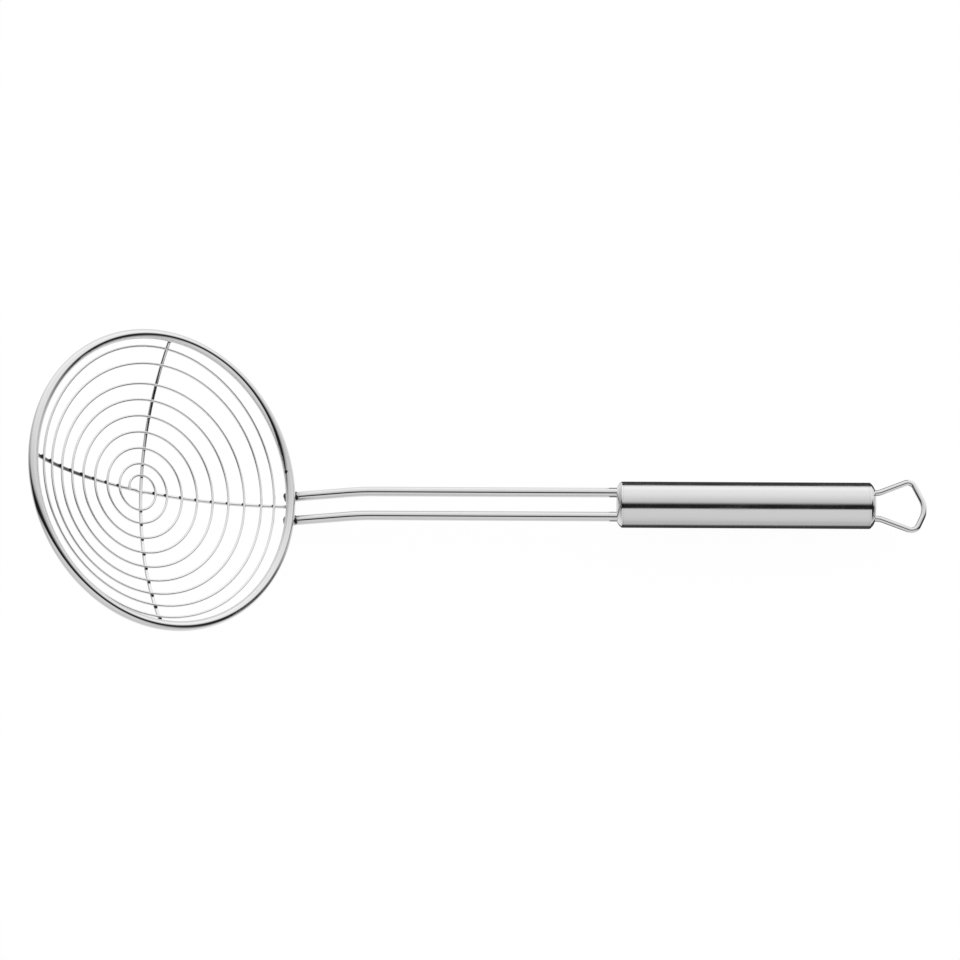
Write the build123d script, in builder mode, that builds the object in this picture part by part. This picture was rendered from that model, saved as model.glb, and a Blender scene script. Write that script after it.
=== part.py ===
from build123d import *
import math
import os

# A wire spider skimmer lying on a table with its handle level.
# Lengths are in millimetres and angles in degrees.

# Rim of the bowl, a closed hoop of round wire
rim_wire = 4.0
rim_mean_diameter = 120.0

# Bowl, a shallow cap of a sphere that hangs from the rim
bowl_depth = 20.2
bowl_tilt = 38.7

# Mesh, one thin wire wound outward from the eye of the bowl to the rim
mesh_wire = 1.0
mesh_eye_radius = 5.9
mesh_turns = 8.5
mesh_lead_in_turns = 0.5
# Where the hand-wound wire strays outward or inward: turn, share of the pitch, width in turns
mesh_stray_shares = (
    (-0.5, 0.33, 0.8),
    (6.75, 0.28, 0.2),
    (7.35, -0.15, 0.12),
    (7.7, 0.4, 0.13),
    (8.08, -0.17, 0.2),
)

# Two crossed wires that carry the mesh from below
cross_wire = 1.4
side_wire_offset = 1.3
side_wire_skew = 1.1
long_wire_dip_reach = 3.0

# Neck, two parallel rods welded to the outside of the rim
neck_rod = 4.0
neck_spacing = 10.2
neck_rise = 16.1
neck_foot = 3.8
neck_reach = 29.4
neck_bend_radius = 37.0
neck_length = 104.8
neck_depth_in_grip = 32.0

# Grip, a straight tube closed by a domed cap at each end
grip_diameter = 18.9
grip_length = 105.2
grip_wall = 1.0
cap_face_radius = 6.3
cap_dome_length = 2.1
cap_dome_bulge_share = 0.4
cap_land = 0.6
cap_wall = 1.2
cap_spigot = 5.0
brace_thickness = 2.0
brace_setback = 2.0

# Hanging loop, one bent wire whose two legs pass through the rear cap
loop_wire = 2.4
loop_leg_offset = 5.45
loop_leg_inside = 9.0
loop_leg_straight = 1.8
loop_leg_bend_radius = 6.0
loop_left_corner_reach = 15.2
loop_left_corner_side = 10.7
loop_right_corner_reach = 16.2
loop_right_corner_side = 11.0
loop_corner_radius = 3.0
loop_apex_reach = 20.9
loop_apex_side = -1.2
loop_apex_radius = 9.0

# Clearances left between pieces that touch or are welded
weld_gap = 0.05
wire_gap = 0.02
bore_clearance = 0.05

# Division of the mesh wire into arcs, and its sampling for tangents and for its least gap
biarcs_per_turn = 4
tangent_step_turns = 0.0001
samples_per_arc = 12

# Values worked out from the sizes above
rim_radius = rim_mean_diameter / 2
ball_radius = (rim_radius ** 2 + bowl_depth ** 2) / (2 * bowl_depth)
ball_height = ball_radius - bowl_depth
rim_arc = ball_radius * math.atan2(rim_radius, ball_height)
mesh_end_arc = rim_arc - rim_wire / 2 - mesh_wire / 2 - weld_gap
mesh_pitch = (mesh_end_arc - mesh_eye_radius) / mesh_turns
grip_radius = grip_diameter / 2
tube_bore_radius = grip_radius - grip_wall
cap_length = cap_dome_length + cap_land
spigot_radius = tube_bore_radius - bore_clearance

tilt_cos = math.cos(math.radians(bowl_tilt))
tilt_sin = math.sin(math.radians(bowl_tilt))
hoop = Plane(origin=(0, 0, 0), x_dir=(tilt_cos, 0, -tilt_sin), z_dir=(tilt_sin, 0, tilt_cos))


def in_hoop(along, side, height):
    """A point given in the rim's own plane, along towards the handle and height out of the open side."""
    return hoop.from_local_coords(Vector(along, side, height))


# Rim
with BuildPart() as rim_hoop:
    with BuildSketch(Plane(origin=in_hoop(rim_radius, 0, 0), z_dir=hoop.y_dir)):
        Circle(rim_wire / 2)
    revolve(axis=Axis(hoop.origin, hoop.z_dir))


# Mesh
def mesh_arc(turn):
    """How far the wire lies from the eye, measured along the bowl."""
    stray = sum(share * math.exp(-(((turn - at) / width) ** 2)) for at, share, width in mesh_stray_shares)
    return mesh_eye_radius + mesh_pitch * (turn + stray)


def mesh_point(turn):
    """A point of the wire's centre line, turning clockwise as seen from the open side."""
    polar = mesh_arc(turn) / ball_radius
    ring_radius = ball_radius * math.sin(polar)
    heading = -math.radians(360 * turn)
    height = ball_height - ball_radius * math.cos(polar)
    return in_hoop(ring_radius * math.cos(heading), ring_radius * math.sin(heading), height)


def mesh_tangent(turn):
    """The wire's direction at a turn, outward along its winding."""
    ahead = mesh_point(turn + tangent_step_turns)
    behind = mesh_point(turn - tangent_step_turns)
    return (ahead - behind).normalized()


def add_biarc(start, start_direction, end, end_direction):
    """Two arcs that leave start and reach end in the given directions and meet smoothly between them."""
    chord = end - start
    both = start_direction + end_direction
    slack = 2 * (1 - start_direction.dot(end_direction))
    reach = (math.sqrt(chord.dot(both) ** 2 + slack * chord.dot(chord)) - chord.dot(both)) / slack
    near = start + start_direction * reach
    far = end - end_direction * reach
    joint = (near + far) * 0.5
    TangentArc(start, joint, tangent=start_direction)
    TangentArc(joint, end, tangent=(far - near).normalized())


def least_gap(edges, arcs_per_turn, wire):
    """The smallest clear gap between turns, measured between sampled points of the centre line."""
    shares = [(step + 0.5) / samples_per_arc for step in range(samples_per_arc)]
    points = [tuple(edge @ share) for edge in edges for share in shares]
    half_turn = arcs_per_turn * samples_per_arc // 2
    nearest = min(
        math.dist(points[first], points[second])
        for first in range(len(points))
        for second in range(first + half_turn, len(points))
    )
    return nearest - wire


biarc_count = round((mesh_turns + mesh_lead_in_turns) * biarcs_per_turn)
mesh_stops = [step / biarcs_per_turn - mesh_lead_in_turns for step in range(biarc_count)] + [mesh_turns]
inner_end = mesh_point(mesh_stops[0])
outer_end = mesh_point(mesh_stops[-1])

with BuildPart() as mesh_spiral:
    with BuildLine() as mesh_path:
        Line(inner_end - mesh_tangent(mesh_stops[0]) * mesh_wire, inner_end)
        for turn, next_turn in zip(mesh_stops, mesh_stops[1:]):
            add_biarc(mesh_point(turn), mesh_tangent(turn), mesh_point(next_turn), mesh_tangent(next_turn))
        Line(outer_end, outer_end + mesh_tangent(mesh_stops[-1]) * mesh_wire)
    mesh_line = mesh_path.wire()
    with BuildSketch(Plane(origin=mesh_line @ 0, z_dir=mesh_line % 0)):
        Circle(mesh_wire / 2)
    sweep(path=mesh_line)

mesh_length = mesh_line.length
print("mesh wire length", round(mesh_length, 1), "pitch", round(mesh_pitch, 3))
print("mesh volume over section times length",
      round(mesh_spiral.part.volume / (mesh_length * math.pi * (mesh_wire / 2) ** 2), 5))
print("mesh least gap to itself",
      round(least_gap(mesh_line.edges()[1:-1], 2 * biarcs_per_turn, mesh_wire), 2))


# Crossed wires
def carrier_radius(offset):
    """Radius of a carrying wire's centre line, under the mesh, in a plane that misses the eye by offset."""
    return math.sqrt((ball_radius + mesh_wire / 2 + cross_wire / 2 + wire_gap) ** 2 - offset ** 2)


def carrier_end_angle(offset):
    """Where a carrying wire stops against the inside of the rim, as an angle from the bowl's axis."""
    rim_reach = math.sqrt(rim_radius ** 2 - offset ** 2)
    drop = carrier_radius(offset) - cross_wire / 2 - math.hypot(rim_reach, ball_height)
    setback = math.sqrt((rim_wire / 2 + weld_gap) ** 2 - drop ** 2)
    return math.atan2(rim_reach, ball_height) - setback / carrier_radius(offset)


def carrier_plane(heading, offset):
    """The upright plane of a carrying wire, turned by heading from the handle's line, level with the rim."""
    across = Vector(math.cos(math.radians(heading)), math.sin(math.radians(heading)))
    aside = Vector(across.Y, -across.X) * offset
    x_dir = in_hoop(across.X, across.Y, 0)
    return Plane(origin=in_hoop(aside.X, aside.Y, 0), x_dir=x_dir, z_dir=x_dir.cross(hoop.z_dir))


def carrier_direction(plane, angle):
    """The direction of a carrying wire at an angle from the bowl's axis."""
    return plane.x_dir * math.cos(angle) + plane.y_dir * math.sin(angle)


def carrier_point(plane, offset, angle, dip=0):
    """A point of a carrying wire at an angle from the bowl's axis, lowered by a dip."""
    radius = carrier_radius(offset) + dip
    return plane.from_local_coords(Vector(radius * math.sin(angle), ball_height - radius * math.cos(angle)))


def carrier_arc(plane, offset, first_angle, last_angle):
    """A carrying wire's arc between two angles from the bowl's axis."""
    middle_angle = (first_angle + last_angle) / 2
    angles = (first_angle, middle_angle, last_angle)
    ThreePointArc(*[carrier_point(plane, offset, angle) for angle in angles])


side_plane = carrier_plane(90 + side_wire_skew, side_wire_offset)
side_end_angle = carrier_end_angle(side_wire_offset)
with BuildPart() as cross_wire_side:
    with BuildLine() as side_path:
        carrier_arc(side_plane, side_wire_offset, -side_end_angle, side_end_angle)
    side_line = side_path.wire()
    with BuildSketch(Plane(origin=side_line @ 0, z_dir=side_line % 0)):
        Circle(cross_wire / 2)
    sweep(path=side_line)

long_plane = carrier_plane(0, 0)
long_end_angle = carrier_end_angle(0)
dip_centre = side_wire_offset / math.cos(math.radians(side_wire_skew))
dip_angle = math.asin(dip_centre / carrier_radius(0))
far_shoulder_angle = math.asin((dip_centre - long_wire_dip_reach) / carrier_radius(0))
near_shoulder_angle = math.asin((dip_centre + long_wire_dip_reach) / carrier_radius(0))
far_shoulder = carrier_point(long_plane, 0, far_shoulder_angle)
near_shoulder = carrier_point(long_plane, 0, near_shoulder_angle)
dip_point = carrier_point(long_plane, 0, dip_angle, cross_wire + wire_gap)
dip_direction = carrier_direction(long_plane, dip_angle)
far_direction = carrier_direction(long_plane, far_shoulder_angle)
near_direction = carrier_direction(long_plane, near_shoulder_angle)
with BuildPart() as cross_wire_long:
    with BuildLine() as long_path:
        carrier_arc(long_plane, 0, -long_end_angle, far_shoulder_angle)
        add_biarc(far_shoulder, far_direction, dip_point, dip_direction)
        add_biarc(dip_point, dip_direction, near_shoulder, near_direction)
        carrier_arc(long_plane, 0, near_shoulder_angle, long_end_angle)
    long_line = long_path.wire()
    with BuildSketch(Plane(origin=long_line @ 0, z_dir=long_line % 0)):
        Circle(cross_wire / 2)
    sweep(path=long_line)

# Neck rods
neck_side = neck_spacing / 2
rim_at_rod = math.sqrt(rim_radius ** 2 - neck_side ** 2)
rod_off_rim = rim_wire / 2 + neck_rod / 2 + weld_gap
first_slope = math.radians(bowl_tilt + neck_rise)
rod_weld = in_hoop(rim_at_rod + rod_off_rim * math.sin(first_slope), 0, -rod_off_rim * math.cos(first_slope))
rise_direction = Vector(math.cos(math.radians(neck_rise)), 0, math.sin(math.radians(neck_rise)))
rod_tip = rod_weld - rise_direction * neck_foot
rod_corner = rod_weld + rise_direction * neck_reach
handle_height = rod_corner.Z
grip_front = rod_corner.X + neck_length
grip_rear = grip_front + grip_length


def neck_rod_part(side):
    """One rod from its cut tip below the rim to its end inside the grip."""
    aside = Vector(0, side, 0)
    rod_end = Vector(grip_front + neck_depth_in_grip, 0, handle_height)
    with BuildPart() as rod:
        with BuildLine() as rod_path:
            FilletPolyline(rod_tip + aside, rod_corner + aside, rod_end + aside, radius=neck_bend_radius)
        with BuildSketch(Plane(origin=rod_tip + aside, z_dir=rise_direction)):
            Circle(neck_rod / 2)
        sweep(path=rod_path.line)
    return rod


neck_rod_left = neck_rod_part(neck_side)
neck_rod_right = neck_rod_part(-neck_side)

# Grip
handle_axis = Axis((grip_front, 0, handle_height), (1, 0, 0))


def across_handle(along):
    """A plane square to the handle, centred on its axis."""
    return Plane(origin=(along, 0, handle_height), x_dir=(0, 1, 0), z_dir=(1, 0, 0))


with BuildPart() as grip_tube:
    with BuildSketch(across_handle(grip_front + cap_length)):
        Circle(grip_radius)
        Circle(tube_bore_radius, mode=Mode.SUBTRACT)
    extrude(amount=grip_length - 2 * cap_length)


def end_cap(face, inward, hole_radius, hole_offset):
    """A drawn cap with a domed edge, a spigot inside the tube and two holes in its face."""
    profile_plane = Plane(origin=(face, 0, handle_height), x_dir=(inward, 0, 0), z_dir=(0, -inward, 0))
    bulge_height = (grip_radius - cap_face_radius) * (1 - cap_dome_bulge_share)
    bulge = (cap_dome_length * cap_dome_bulge_share, cap_face_radius + bulge_height)
    inside_radius = spigot_radius - cap_wall
    with BuildPart() as cap:
        with BuildSketch(profile_plane):
            with BuildLine():
                Polyline(
                    (cap_dome_length, grip_radius),
                    (cap_length, grip_radius),
                    (cap_length, spigot_radius),
                    (cap_length + cap_spigot, spigot_radius),
                    (cap_length + cap_spigot, inside_radius),
                    (cap_length, inside_radius),
                    (cap_wall, cap_face_radius),
                    (cap_wall, 0),
                    (0, 0),
                    (0, cap_face_radius),
                )
                ThreePointArc((0, cap_face_radius), bulge, (cap_dome_length, grip_radius))
            make_face()
        revolve(axis=handle_axis)
        with BuildSketch(Plane(origin=(face, 0, handle_height), x_dir=(0, 1, 0), z_dir=(inward, 0, 0))):
            with Locations((hole_offset, 0), (-hole_offset, 0)):
                Circle(hole_radius)
        extrude(amount=cap_length + cap_spigot, mode=Mode.SUBTRACT)
    return cap


front_cap = end_cap(grip_front, 1, neck_rod / 2 + bore_clearance, neck_side)
rear_cap = end_cap(grip_rear, -1, loop_wire / 2 + bore_clearance, loop_leg_offset)

brace_face = grip_front + neck_depth_in_grip - brace_setback - brace_thickness
with BuildPart() as rod_brace:
    with BuildSketch(across_handle(brace_face)):
        Circle(spigot_radius)
        with Locations((neck_side, 0), (-neck_side, 0)):
            Circle(neck_rod / 2 + bore_clearance, mode=Mode.SUBTRACT)
    extrude(amount=brace_thickness)


# Hanging loop
def behind_grip(reach, side):
    """A point of the loop's plane, reach behind the grip's rear face."""
    return Vector(grip_rear + reach, side, handle_height)


with BuildPart() as hanging_loop:
    with BuildLine() as loop_path:
        FilletPolyline(
            behind_grip(-loop_leg_inside, loop_leg_offset),
            behind_grip(loop_leg_straight, loop_leg_offset),
            behind_grip(loop_left_corner_reach, loop_left_corner_side),
            behind_grip(loop_apex_reach, loop_apex_side),
            behind_grip(loop_right_corner_reach, -loop_right_corner_side),
            behind_grip(loop_leg_straight, -loop_leg_offset),
            behind_grip(-loop_leg_inside, -loop_leg_offset),
            radius=[loop_leg_bend_radius, loop_corner_radius, loop_apex_radius,
                    loop_corner_radius, loop_leg_bend_radius],
        )
    with BuildSketch(Plane(origin=loop_path.line @ 0, z_dir=loop_path.line % 0)):
        Circle(loop_wire / 2)
    sweep(path=loop_path.line)

# The pieces stand on the table, centred on the whole
pieces = {
    "rim_hoop": rim_hoop,
    "mesh_spiral": mesh_spiral,
    "cross_wire_side": cross_wire_side,
    "cross_wire_long": cross_wire_long,
    "neck_rod_left": neck_rod_left,
    "neck_rod_right": neck_rod_right,
    "grip_tube": grip_tube,
    "front_cap": front_cap,
    "rear_cap": rear_cap,
    "rod_brace": rod_brace,
    "hanging_loop": hanging_loop,
}
boxes = [piece.part.solid().bounding_box() for piece in pieces.values()]
low = Vector(*[min(tuple(box.min)[axis] for box in boxes) for axis in range(3)])
high = Vector(*[max(tuple(box.max)[axis] for box in boxes) for axis in range(3)])
home = Location((-(low.X + high.X) / 2, -(low.Y + high.Y) / 2, -low.Z))
print("whole size", [round(side, 2) for side in high - low])
print("hoop centre at", (home * Location(hoop.origin)).position)
print("grip front at", (home * Location((grip_front, 0, handle_height))).position)

os.makedirs("parts", exist_ok=True)
for name, piece in pieces.items():
    solid = piece.part.solid().moved(home)
    solid.label = name
    export_step(solid, f"parts/{name}.step")
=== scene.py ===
"""A spider skimmer: a wire bowl on a twin-rod neck, with a tubular grip and a hanging loop."""

import logging
import math
from abc import ABC, abstractmethod
from dataclasses import dataclass, field, replace
from enum import Enum
from typing import Any, Sequence

import bmesh
import bpy
from mathutils import Matrix, Vector, noise


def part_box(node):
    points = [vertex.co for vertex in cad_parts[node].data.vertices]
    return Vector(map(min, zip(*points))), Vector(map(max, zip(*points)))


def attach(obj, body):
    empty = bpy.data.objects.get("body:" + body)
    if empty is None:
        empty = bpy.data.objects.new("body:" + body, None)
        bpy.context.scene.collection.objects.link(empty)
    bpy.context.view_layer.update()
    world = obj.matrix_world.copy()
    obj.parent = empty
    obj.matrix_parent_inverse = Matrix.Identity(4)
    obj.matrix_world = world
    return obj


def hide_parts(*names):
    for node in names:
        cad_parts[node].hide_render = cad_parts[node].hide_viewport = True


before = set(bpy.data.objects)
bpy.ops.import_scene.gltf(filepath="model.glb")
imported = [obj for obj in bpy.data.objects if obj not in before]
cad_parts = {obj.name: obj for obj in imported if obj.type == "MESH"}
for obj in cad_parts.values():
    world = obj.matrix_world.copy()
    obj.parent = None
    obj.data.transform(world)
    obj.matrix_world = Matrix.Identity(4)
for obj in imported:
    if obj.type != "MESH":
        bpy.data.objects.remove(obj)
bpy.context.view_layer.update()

LOG = logging.getLogger("spider_skimmer")
MM = 0.001
BODY = "root"
WIRE_UV = "wire"
# per-vertex darkening channel: heat tint at welds, and painted shade on the long wire's far part, the rod tips and
# beside welds
TINT_AND_SHADE = "tint_and_painted_shade"
CREASE = 32.0
NO_CREASE = 180.0
GRAIN_MIDDLE = 0.5
STRAIGHT = 1e-4

Colour = tuple[float, float, float, float]
Pair = tuple[float, float]
Pairs = tuple[Pair, ...]
Triple = tuple[float, float, float]


def mm(*lengths: float) -> tuple[float, ...]:
    """Lengths given in millimetres, in metres."""
    return tuple(length * MM for length in lengths)


def grey(level: float, warmth: float = 0.0) -> Colour:
    """A nearly neutral colour, warmer as warmth rises."""
    return (level + warmth, level, level - warmth, 1.0)


def bell(off: float) -> float:
    """A smooth hump, 1 where off is 0 and next to nothing beyond 2."""
    return math.exp(-(off**2))


# ---------------------------------------------------------------- shader maths


class Value:
    """A number socket that can be used in Python sums."""

    def __init__(self, shader: "Shader", socket: bpy.types.NodeSocket) -> None:
        """Wraps the output socket of a node of that shader."""
        self.shader = shader
        self.socket = socket

    def _math(self, operation: str, *terms: "Value | float") -> "Value":
        """Adds one Math node for that operation on the terms, in order."""
        node = self.shader.node("ShaderNodeMath", {"operation": operation}, dict(enumerate(terms)))
        return Value(self.shader, node.outputs[0])

    def __add__(self, other: "Value | float") -> "Value":
        """self + other."""
        return self._math("ADD", self, other)

    def __sub__(self, other: "Value | float") -> "Value":
        """self - other."""
        return self._math("SUBTRACT", self, other)

    def __rsub__(self, other: float) -> "Value":
        """other - self."""
        return self._math("SUBTRACT", other, self)

    def __mul__(self, other: "Value | float") -> "Value":
        """self * other."""
        return self._math("MULTIPLY", self, other)

    def __truediv__(self, other: "Value | float") -> "Value":
        """self / other."""
        return self._math("DIVIDE", self, other)

    def __neg__(self) -> "Value":
        """-self."""
        return self._math("MULTIPLY", self, -1.0)

    def sine(self) -> "Value":
        """The sine, of an angle in radians."""
        return self._math("SINE", self)

    def cosine(self) -> "Value":
        """The cosine, of an angle in radians."""
        return self._math("COSINE", self)

    def arcsine(self) -> "Value":
        """The angle in radians whose sine this is."""
        return self._math("ARCSINE", self)

    def angle_from(self, other: "Value") -> "Value":
        """The angle in radians of the point (other, self)."""
        return self._math("ARCTAN2", self, other)

    def between(self, low: float, high: float) -> "Value":
        """0 below low, 1 above high, and smooth between them.

        Args:
            low: where the rise starts.
            high: where it ends.

        Returns:
            The share of the rise.
        """
        settings = {"interpolation_type": "SMOOTHSTEP"}
        node = self.shader.node("ShaderNodeMapRange", settings, {"Value": self, "From Min": low, "From Max": high})
        return Value(self.shader, node.outputs["Result"])


Feed = Value | bpy.types.NodeSocket | float | Colour


@dataclass(frozen=True)
class Grain:
    """Soft noise of one size.

    The density says how many blotches fit in a unit of each of a place's three numbers, the detail how many finer
    layers there are, and the distortion how far the blotches are drawn aside.
    """

    density: Triple
    detail: float = 3.0
    distortion: float = 0.0
    roughness: float = 0.6


class Shader:
    """A node tree that is being filled."""

    def __init__(self, tree: bpy.types.NodeTree) -> None:
        """Starts on an empty tree."""
        self.tree = tree
        tree.nodes.clear()

    def node(
        self, kind: str, settings: dict[str, Any] | None = None, feeds: dict[str | int, Feed] | None = None
    ) -> bpy.types.Node:
        """Adds a node of any type.

        Args:
            kind: the node's type.
            settings: its own settings, set before anything is linked; stops are a ramp's places and colours.
            feeds: values or links by the name or number of the input socket.

        Returns:
            The new node.
        """
        node = self.tree.nodes.new(kind)
        for name, setting in (settings or {}).items():
            if name == "stops":
                self._set_stops(node.color_ramp, setting)
            else:
                setattr(node, name, setting)
        for key, feed in (feeds or {}).items():
            source = feed.socket if isinstance(feed, Value) else feed
            if isinstance(source, bpy.types.NodeSocket):
                self.tree.links.new(source, node.inputs[key])
            else:
                node.inputs[key].default_value = source
        return node

    @staticmethod
    def _set_stops(ramp: bpy.types.ColorRamp, stops: Sequence[tuple[float, Colour]]) -> None:
        """Gives a ramp its stops.

        Args:
            ramp: a new node's ramp.
            stops: places and colours, in order of place.
        """
        while len(ramp.elements) > 1:
            ramp.elements.remove(ramp.elements[-1])
        for number, (place, colour) in enumerate(stops):
            element = ramp.elements[0] if number == 0 else ramp.elements.new(place)
            element.position = place
            element.color = colour

    def parts(self, vector: bpy.types.NodeSocket) -> tuple[Value, ...]:
        """The three numbers of a vector."""
        node = self.node("ShaderNodeSeparateXYZ", {}, {0: vector})
        return tuple(Value(self, output) for output in node.outputs)

    def place(self) -> tuple[Value, ...]:
        """Where a point is in the frame, in metres."""
        return self.parts(self.node("ShaderNodeTexCoord").outputs["Object"])

    def wire_place(self) -> tuple[Value, Value, Value]:
        """Where a point is on a wire or a turned piece.

        Returns:
            Metres along it, and two numbers that go round it without a seam.
        """
        uv = self.node("ShaderNodeUVMap", {"uv_map": WIRE_UV}).outputs[0]
        along, around, _ = self.parts(uv)
        angle = around * math.tau
        return along, angle.cosine(), angle.sine()

    def grain(self, place: Sequence[Value], grain: Grain) -> Value:
        """Soft noise around GRAIN_MIDDLE.

        Args:
            place: three numbers that say where a point is.
            grain: the noise's size.

        Returns:
            The noise.
        """
        scaled = {number: part * density for number, (part, density) in enumerate(zip(place, grain.density))}
        feeds = {"Vector": self.node("ShaderNodeCombineXYZ", {}, scaled).outputs[0], "Scale": 1.0}
        feeds |= {"Detail": grain.detail, "Roughness": grain.roughness, "Distortion": grain.distortion}
        return Value(self, self.node("ShaderNodeTexNoise", {}, feeds).outputs[0])

    def level(self, value: Value, stops: Sequence[Pair]) -> Value:
        """A number read off a curve given as stops.

        Args:
            value: where to read it.
            stops: the curve's places and heights, both from 0 to 1.

        Returns:
            The height there.
        """
        ramp_stops = [(place, grey(height)) for place, height in stops]
        node = self.node("ShaderNodeValToRGB", {"stops": ramp_stops}, {"Fac": value})
        return Value(self, node.outputs["Color"])

    def mix(self, share: Value | float, first: Feed, second: Feed) -> bpy.types.NodeSocket:
        """A colour between two, the second at share 1."""
        node = self.node("ShaderNodeMix", {"data_type": "RGBA"}, {0: share, 6: first, 7: second})
        return node.outputs[2]

    def blend(self, share: Value, first: Value | float, second: Value | float) -> Value:
        """A number between two, the second at share 1."""
        node = self.node("ShaderNodeMix", {"data_type": "FLOAT"}, {0: share, 2: first, 3: second})
        return Value(self, node.outputs[0])

    def bump(self, height: Value, depth: float) -> bpy.types.NodeSocket:
        """A normal bumped by a relief of height 0 to 1 that is depth metres deep."""
        return self.node("ShaderNodeBump", {}, {"Height": height, "Distance": depth}).outputs[0]

    def tint_and_shade(self) -> Value:
        """How strongly the metal is darkened, from 0 to 1: heat tint at welds, and painted shade elsewhere."""
        return Value(self, self.node("ShaderNodeAttribute", {"attribute_name": TINT_AND_SHADE}).outputs["Fac"])


# -------------------------------------------------------------------- finishes


@dataclass(frozen=True)
class Finish(ABC):
    """A surface finish that makes its own material."""

    name: str

    def material(self) -> bpy.types.Material:
        """Makes the material, or finds the one made before.

        Returns:
            The material.
        """
        known = bpy.data.materials.get(self.name)
        if known:
            return known
        material = bpy.data.materials.new(self.name)
        material.use_nodes = True
        shader = Shader(material.node_tree)
        shader.node("ShaderNodeOutputMaterial", {}, {"Surface": self.surface(shader)})
        return material

    @abstractmethod
    def surface(self, shader: Shader) -> bpy.types.NodeSocket:
        """Builds the surface in that tree and gives its shader socket."""

    def metal(
        self, shader: Shader, colour: Feed, roughness: Feed, normal: Feed, bareness: Feed = 1.0
    ) -> bpy.types.NodeSocket:
        """A metal surface.

        Args:
            shader: the tree it goes in.
            colour: the reflected colour.
            roughness: from 0, a mirror, to 1.
            normal: the bumped normal.
            bareness: 1 for bare metal, less where scale covers it.

        Returns:
            The surface.
        """
        feeds = {"Base Color": colour, "Metallic": bareness, "Roughness": roughness, "Normal": normal}
        return shader.node("ShaderNodeBsdfPrincipled", {}, feeds).outputs[0]

    def glowing(self, shader: Shader, colour: Colour, light: Feed, strength: float) -> bpy.types.NodeSocket:
        """A matt surface with light of its own.

        Args:
            shader: the tree it goes in.
            colour: the colour that other light finds.
            light: its own light's colour.
            strength: how strong its own light is.

        Returns:
            The surface.
        """
        feeds = {"Base Color": colour, "Roughness": 1.0, "Specular IOR Level": 0.0}
        feeds |= {"Emission Color": light, "Emission Strength": strength}
        return shader.node("ShaderNodeBsdfPrincipled", {}, feeds).outputs[0]


@dataclass(frozen=True)
class BrightSteel(Finish):
    """Bright steel with fine marks over a cloudy polish, darkened by heat tint or covered with scale where it was
    welded, and darkened the same way where painted shade is laid on it.
    """

    bright: Colour
    dull: Colour
    smooth: float
    rubbed: float
    marks: Grain
    mark_depth: float
    clouds: Grain
    cloud_share: float = 0.6
    cloud_edges: Pair = (0.35, 0.7)
    tint_and_shade_colour: Colour | None = None
    tint_and_shade_roughness: float = 0.0
    scale_and_shade: float = 0.0

    def surface(self, shader: Shader) -> bpy.types.NodeSocket:
        """Fine marks over a cloudy polish, dark, rougher welds, and painted shade.

        Args:
            shader: the tree it goes in.

        Returns:
            The surface.
        """
        place = shader.wire_place()
        marks, clouds = shader.grain(place, self.marks), shader.grain(place, self.clouds)
        share = clouds * self.cloud_share + marks * (1 - self.cloud_share)
        colour = shader.mix(share, self.dull, self.bright)
        roughness = shader.blend(clouds.between(*self.cloud_edges), self.smooth, self.rubbed)
        bareness: Feed = 1.0
        if self.tint_and_shade_colour:
            # the channel mixes in a dark colour and dulls the metal: heat tint at welds, painted shade elsewhere
            tint_and_shade = shader.tint_and_shade()
            colour = shader.mix(tint_and_shade, colour, self.tint_and_shade_colour)
            roughness = roughness + tint_and_shade * self.tint_and_shade_roughness
            if self.scale_and_shade:
                bareness = 1.0 - tint_and_shade * self.scale_and_shade
        return self.metal(shader, colour, roughness, shader.bump(marks, self.mark_depth), bareness)


@dataclass(frozen=True)
class PolishedWire(BrightSteel):
    """Thick steel wire, polished, with faint lengthwise lines."""

    bright: Colour = grey(0.80)
    dull: Colour = grey(0.72)
    smooth: float = 0.03
    rubbed: float = 0.08
    marks: Grain = Grain((1 / 0.018, 16.0, 16.0), 4.0)
    mark_depth: float = 0.0006 * MM
    clouds: Grain = Grain((220.0, 0.9, 0.9))
    # near-black colour for weld tint and for the painted shade on the rod tips and welds
    tint_and_shade_colour: Colour | None = (0.016, 0.014, 0.013, 1.0)
    tint_and_shade_roughness: float = 0.3
    scale_and_shade: float = 0.85


@dataclass(frozen=True)
class DrawnWire(BrightSteel):
    """Thin bright wire as it leaves the drawing die, with die lines and a slow change of brightness."""

    bright: Colour = grey(0.90)
    dull: Colour = grey(0.80)
    smooth: float = 0.05
    rubbed: float = 0.12
    marks: Grain = Grain((1 / 0.030, 6.0, 6.0), 4.0)
    mark_depth: float = 0.0010 * MM
    clouds: Grain = Grain((140.0, 0.5, 0.5), 2.0)
    cloud_share: float = 0.5
    cloud_edges: Pair = (0.3, 0.75)
    # dark colour for weld tint and for the painted shade on the carrying wires
    tint_and_shade_colour: Colour | None = (0.050, 0.045, 0.042, 1.0)
    tint_and_shade_roughness: float = 0.25


@dataclass(frozen=True)
class PolishedCap(BrightSteel):
    """Pressed cap polished on a wheel, with fine rings left round its axis and no weld near it."""

    bright: Colour = grey(0.80)
    dull: Colour = grey(0.71)
    smooth: float = 0.06
    rubbed: float = 0.14
    marks: Grain = Grain((1 / (0.06 * MM), 1.4, 1.4))
    mark_depth: float = 0.0004 * MM
    clouds: Grain = Grain((500.0, 3.0, 3.0))


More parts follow.
